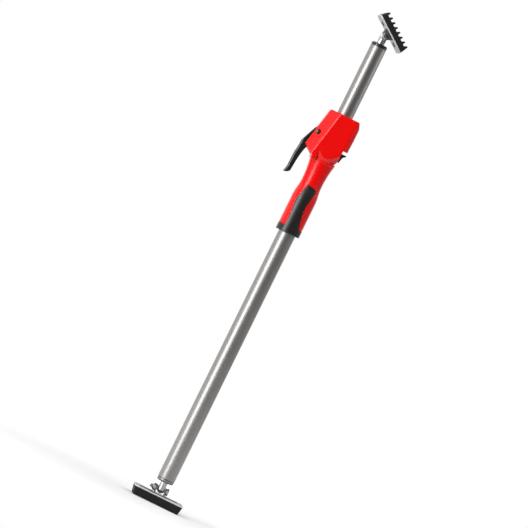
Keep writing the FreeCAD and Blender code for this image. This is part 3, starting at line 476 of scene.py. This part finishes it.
def pad_rubber():
    """Matte black rubber with a dusty bloom."""
    made = Finish("pad_rubber")
    bloom = made.noise(made.place(), scale=120.0, detail=5.0)
    pores = made.noise(made.place(), scale=1800.0, detail=2.0)
    made.set(
        Base_Color=made.shades(bloom, grey(0.006), grey(0.014)),
        Roughness=0.6 + bloom * 0.2,
        Normal=made.bump(pores, strength=0.2, depth=0.3, edge=0.6),
        Specular_IOR_Level=0.3,
    )
    return made.material


def plate_steel():
    """Hardened clamping plates: dark, oiled, ground on the faces."""
    made = Finish("plate_steel")
    lines = made.noise(made.place((1.0, 0.04, 1.0)), scale=900.0, detail=3.0)
    made.set(
        Base_Color=made.shades(lines, grey(0.2), grey(0.34)),
        Metallic=1.0,
        Roughness=0.3 + lines * 0.15,
        Normal=made.bump(lines, strength=0.1),
    )
    return made.material


FINISHES = {
    "zinc_tube": tube_steel,
    "bolt_steel": bolt_zinc,
    "plate_steel": plate_steel,
    "spring_steel": bolt_zinc,
    "red_plastic": red_moulding,
    "black_plastic": black_moulding,
    "grip_rubber": soft_grip,
    "pad_rubber": pad_rubber,
    "cap_metal": cast_cap,
}
OWN_FINISHES = {
    "foot_plate": foot_sheet,
    "head_plate": head_sheet,
    "lever_pin": dark_pin,
    "pump_lever": lever_moulding,
}


def dress_nodes():
    """Give each CAD node its own finish or that of its material slot. Returns the slots' finishes."""
    made = {slot: recipe() for slot, recipe in FINISHES.items()}
    for entry in frame["record"]["subparts"]:
        name = entry["node"]
        finish = OWN_FINISHES[name]() if name in OWN_FINISHES else made[entry["material_slot"]]
        mesh = NODES[name].data
        mesh.materials.clear()
        mesh.materials.append(finish)
    return made


def wrapped_faces(rows, columns):
    """Faces of a surface of rows and columns that wraps round, with a point after them closing each end.

    They come as three arrays of point numbers: the quads between neighbours, and a fan at each end.
    """
    here = np.arange(rows * columns).reshape(rows, columns)
    beside = np.roll(here, -1, axis=1)
    quads = np.stack([here[:-1], beside[:-1], beside[1:], here[1:]], axis=-1).reshape(-1, 4)
    low = np.stack([np.full(columns, rows * columns), beside[0], here[0]], axis=-1)
    high = np.stack([np.full(columns, rows * columns + 1), here[-1], beside[-1]], axis=-1)
    return quads, low, high


def turned_surface(stations, radii, start, axis, side):
    """A closed surface with a radius at each station along an axis and each angle from the side direction.

    The place is start + axis * station + radius * (side * cosine + (axis x side) * sine), in millimetres.
    """
    columns = radii.shape[1]
    angles = np.linspace(0.0, 2.0 * np.pi, columns, endpoint=False)
    axis, side = np.array(axis, float), np.array(side, float)
    spoke = np.outer(np.cos(angles), side) + np.outer(np.sin(angles), np.cross(axis, side))
    along = np.broadcast_to(np.asarray(stations, float).reshape(len(radii), -1), radii.shape)
    points = np.array(start, float) + along[..., None] * axis + radii[..., None] * spoke[None]
    ends = points[[0, -1]].mean(axis=1)
    return np.concatenate([points.reshape(-1, 3), ends]), wrapped_faces(len(radii), columns)


def new_piece(name, surfaces, node, finish):
    """One object from closed surfaces, standing for a CAD node on that node's body."""
    points, faces, count = [], [], 0
    for place, corners in surfaces:
        points += (place * MM).tolist()
        for block in corners:
            faces += (block + count).tolist()
        count += len(place)
    mesh = bpy.data.meshes.new(name)
    mesh.from_pydata(points, [], faces)
    mesh.materials.append(finish)
    piece = bpy.data.objects.new(name, mesh)
    bpy.context.scene.collection.objects.link(piece)
    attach(piece, body_of(NODES[node])[0])
    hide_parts(node)
    mesh.set_sharp_from_angle(angle=SHARP_ANGLE)
    mesh.polygons.foreach_set("use_smooth", np.ones(len(mesh.polygons), bool))


def threaded_bolt(pivot, axis, corner):
    """A hexagon bolt: radius over the length and the angle round it.

    Thread: the radius falls by the thread's depth along a triangle wave of station / pitch + angle / turn,
    cut flat at crest and root. Point: the radius also stays below a cone at the end. Head: the flats' half
    width divided by the cosine of the angle from the middle of the flat, held below a cone that turns the
    corners off.
    """
    turn = np.arange(BOLT_COLUMNS) / BOLT_COLUMNS
    thread = np.linspace(BOLT_END, -BOLT_SEAT, THREAD_ROWS)[:, None]
    wave = np.abs(2.0 * ((thread / THREAD_PITCH + turn) % 1.0) - 1.0)
    cut = np.clip((1.0 + 2.0 * THREAD_FLAT) * wave - THREAD_FLAT, 0.0, 1.0)
    point = BOLT_RADIUS - BOLT_POINT + (thread - BOLT_END)
    threaded = np.minimum(BOLT_RADIUS - THREAD_DEPTH * cut, point)
    plain = np.full((2, BOLT_COLUMNS), BOLT_RADIUS)
    top = BOLT_SEAT + BOLT_HEAD
    head = np.linspace(BOLT_SEAT, top, HEX_ROWS)[:, None]
    from_flat = 2.0 * np.pi * ((turn % (1.0 / HEX_SIDES)) - 0.5 / HEX_SIDES)
    hexagon = HEX_FLATS / 2.0 / np.cos(from_flat)
    over_corner = HEX_FLATS / 2.0 / math.cos(math.pi / HEX_SIDES)
    cone = over_corner - 2.0 * HEX_BEVEL + HEX_CONE * (top - head)
    stations = np.concatenate([thread[:, 0], [-BOLT_SEAT, BOLT_SEAT], head[:, 0]])
    radii = np.concatenate([threaded, plain, np.minimum(hexagon[None], cone)])
    return turned_surface(stations, radii, pivot, axis, corner)


def cross_screw(across, up, seat):
    """A pan-head screw along Y: a pointed shank, a flat seat and a dome with a cross recess.

    Dome: a quarter ellipse from the top of an upright rim to the middle. Recess: sunk where a point lies
    within the width of either arm, with sides and ends that slope in, deepest at the middle.
    """
    turn = 2.0 * np.pi * np.arange(SCREW_COLUMNS) / SCREW_COLUMNS
    share = np.linspace(1.0, DOME_MIDDLE, DOME_ROWS)[:, None]
    radius = np.broadcast_to(SCREW_HEAD * share, (DOME_ROWS, SCREW_COLUMNS))
    dome = DOME_HEIGHT * (DOME_RIM + (1.0 - DOME_RIM) * np.sqrt(1.0 - share ** 2))
    right, above = radius * np.cos(turn), radius * np.sin(turn)

    def arm(along, beside):
        """How deep one arm of the cross is, from 0 to 1, by the distances along and beside it."""
        sides = np.clip((RECESS_WIDTH - np.abs(beside)) / RECESS_SIDE, 0.0, 1.0)
        return sides * np.clip((RECESS_REACH - np.abs(along)) / RECESS_END, 0.0, 1.0)

    def rings(values):
        """Each value, all the way round."""
        return np.repeat(np.array(values)[:, None], SCREW_COLUMNS, axis=1)

    sunk = RECESS_DEPTH * np.maximum(arm(right, above), arm(above, right))
    shank = rings([SCREW_TIP, SCREW_RADIUS, SCREW_RADIUS, SCREW_HEAD])
    levels = rings([-SCREW_REACH, SCREW_POINT - SCREW_REACH, seat, seat])
    stations = np.concatenate([levels, seat + dome - sunk])
    radii = np.concatenate([shank, radius])
    return turned_surface(stations, radii, (across, 0.0, up), (0, 1, 0), (0, 0, 1))


def fasteners(finish):
    """The two pivot bolts and the three shell screws, in place of their plain solids."""
    foot_bolt = threaded_bolt(FOOT_PIVOT / MM, (1, 0, 0), (0, 0, 1))
    head_bolt = threaded_bolt(HEAD_PIVOT / MM, (0, 1, 0), HEAD_TURN @ Vector((0.0, 0.0, 1.0)))
    new_piece("foot_bolt", [foot_bolt], "foot_pivot_bolt", finish)
    new_piece("head_bolt", [head_bolt], "head_pivot_bolt", finish)
    new_piece("cross_screws", [cross_screw(*place) for place in SCREWS], "shell_screws", finish)


def seen_background(finish):
    """One for the rays that show the background: from the camera, off gloss and through glass."""
    camera, glossy, through = (finish.node("LightPath", output=ray) for ray in BACKGROUND_RAYS)
    return camera.at_least(glossy).at_least(through)


def studio_world():
    """White behind the prop, in metal too; otherwise a soft room, bright on the left and dim in front."""
    world = bpy.data.worlds.new("studio")
    world.use_nodes = True
    bpy.context.scene.world = world
    room = Finish("studio", world.node_tree)
    background = next(item for item in world.node_tree.nodes if item.type == "BACKGROUND")
    direction = room.node("TexCoord", output="Generated")
    flat = room.node("VectorMath", {"operation": "MULTIPLY"}, **{"0": direction, "1": (1.0, 1.0, 0.0)})
    level = room.node("VectorMath", {"operation": "NORMALIZE"}, **{"0": flat})
    up = room.node("SeparateXYZ", Vector=direction, output="Z")

    def glow(degrees, power, strength):
        """A strength, times a power of the cosine between a level direction and a bearing."""
        angle = math.radians(degrees)
        pair = {"0": level, "1": (math.sin(angle), -math.cos(angle), 0.0)}
        facing = room.node("VectorMath", {"operation": "DOT_PRODUCT"}, "Value", **pair)
        return facing.at_least(0.0) ** power * strength

    walls = sum((glow(*part) for part in ROOM_PARTS.values()), ROOM_FILL)
    levelness = 1.0 - up * up
    window = glow(*WINDOW) * levelness ** WINDOW_LEVEL
    light = ((walls + window) * levelness + up.at_least(0.0) * CEILING).at_least(0.0)
    behind = ((glow(*BACKDROP) - BACKDROP_EDGE) * BACKDROP_FADE).at_least(0.0).at_most(1.0)
    glossy = room.node("LightPath", output="Is Glossy Ray")
    white = seen_background(room) * (1.0 - glossy * (1.0 - behind))
    room.fill(background.inputs["Strength"], white + (1.0 - white) * light)
    background.inputs["Color"].default_value = WHITE


def softbox(name, place, size, power, in_reflections):
    """A square lamp that faces the middle of the prop."""
    lamp = bpy.data.lights.new(name, "AREA")
    lamp.size = size
    lamp.energy = power
    holder = bpy.data.objects.new(name, lamp)
    bpy.context.scene.collection.objects.link(holder)
    holder.location = place
    holder.rotation_euler = (LAMP_AIM - Vector(place)).to_track_quat("-Z", "Y").to_euler()
    holder.visible_glossy = in_reflections
    holder.visible_camera = False


def pale_floor():
    """A round pale floor that keeps the prop's shadow, and that shows as white towards its rim."""
    angles = np.linspace(0.0, 2.0 * np.pi, FLOOR_SIDES, endpoint=False)
    rim = FLOOR_RADIUS * np.stack([np.cos(angles), np.sin(angles), np.zeros(FLOOR_SIDES)], axis=1)
    mesh = bpy.data.meshes.new("floor")
    mesh.from_pydata(rim.tolist(), [], [list(range(FLOOR_SIDES))])
    floor = bpy.data.objects.new("floor", mesh)
    bpy.context.scene.collection.objects.link(floor)
    made = Finish("floor")
    across, deep = (part * (MM / FLOOR_RADIUS) for part in made.within()[:2])
    outward = FLOOR_GLOW + (1.0 - FLOOR_GLOW) * (across * across + deep * deep)
    made.set(
        Base_Color=grey(0.8),
        Roughness=0.9,
        Emission_Color=made.shades(seen_background(made) * outward, grey(0.0), grey(1.0)),
        Emission_Strength=1.0,
    )
    mesh.materials.append(made.material)


def photo_camera():
    """The camera at the photograph's angle: turned, raised and rolled about the aim point."""
    lens = bpy.data.cameras.new("camera")
    lens.sensor_width = SENSOR_WIDTH
    lens.lens = SENSOR_WIDTH * VIEW_DISTANCE / FRAME_WIDTH
    lens.clip_end = 10.0 * VIEW_DISTANCE
    camera = bpy.data.objects.new("camera", lens)
    bpy.context.scene.collection.objects.link(camera)
    ahead = Vector((
        -math.sin(VIEW_AZIMUTH) * math.cos(VIEW_ELEVATION),
        math.cos(VIEW_AZIMUTH) * math.cos(VIEW_ELEVATION),
        -math.sin(VIEW_ELEVATION),
    ))
    level = ahead.cross(Vector((0, 0, 1))).normalized()
    upright = level.cross(ahead)
    up = upright * math.cos(VIEW_ROLL) - level * math.sin(VIEW_ROLL)
    right = level * math.cos(VIEW_ROLL) + upright * math.sin(VIEW_ROLL)
    turn = Matrix((right, up, -ahead)).transposed().to_4x4()
    camera.matrix_world = Matrix.Translation(VIEW_AIM - ahead * VIEW_DISTANCE) @ turn
    bpy.context.scene.camera = camera


finishes = dress_nodes()
fasteners(finishes["bolt_steel"])
studio_world()
for lamp_name, lamp_set in LAMPS.items():
    softbox(lamp_name, *lamp_set)
pale_floor()
photo_camera()
bpy.context.scene.view_settings.view_transform = "Standard"
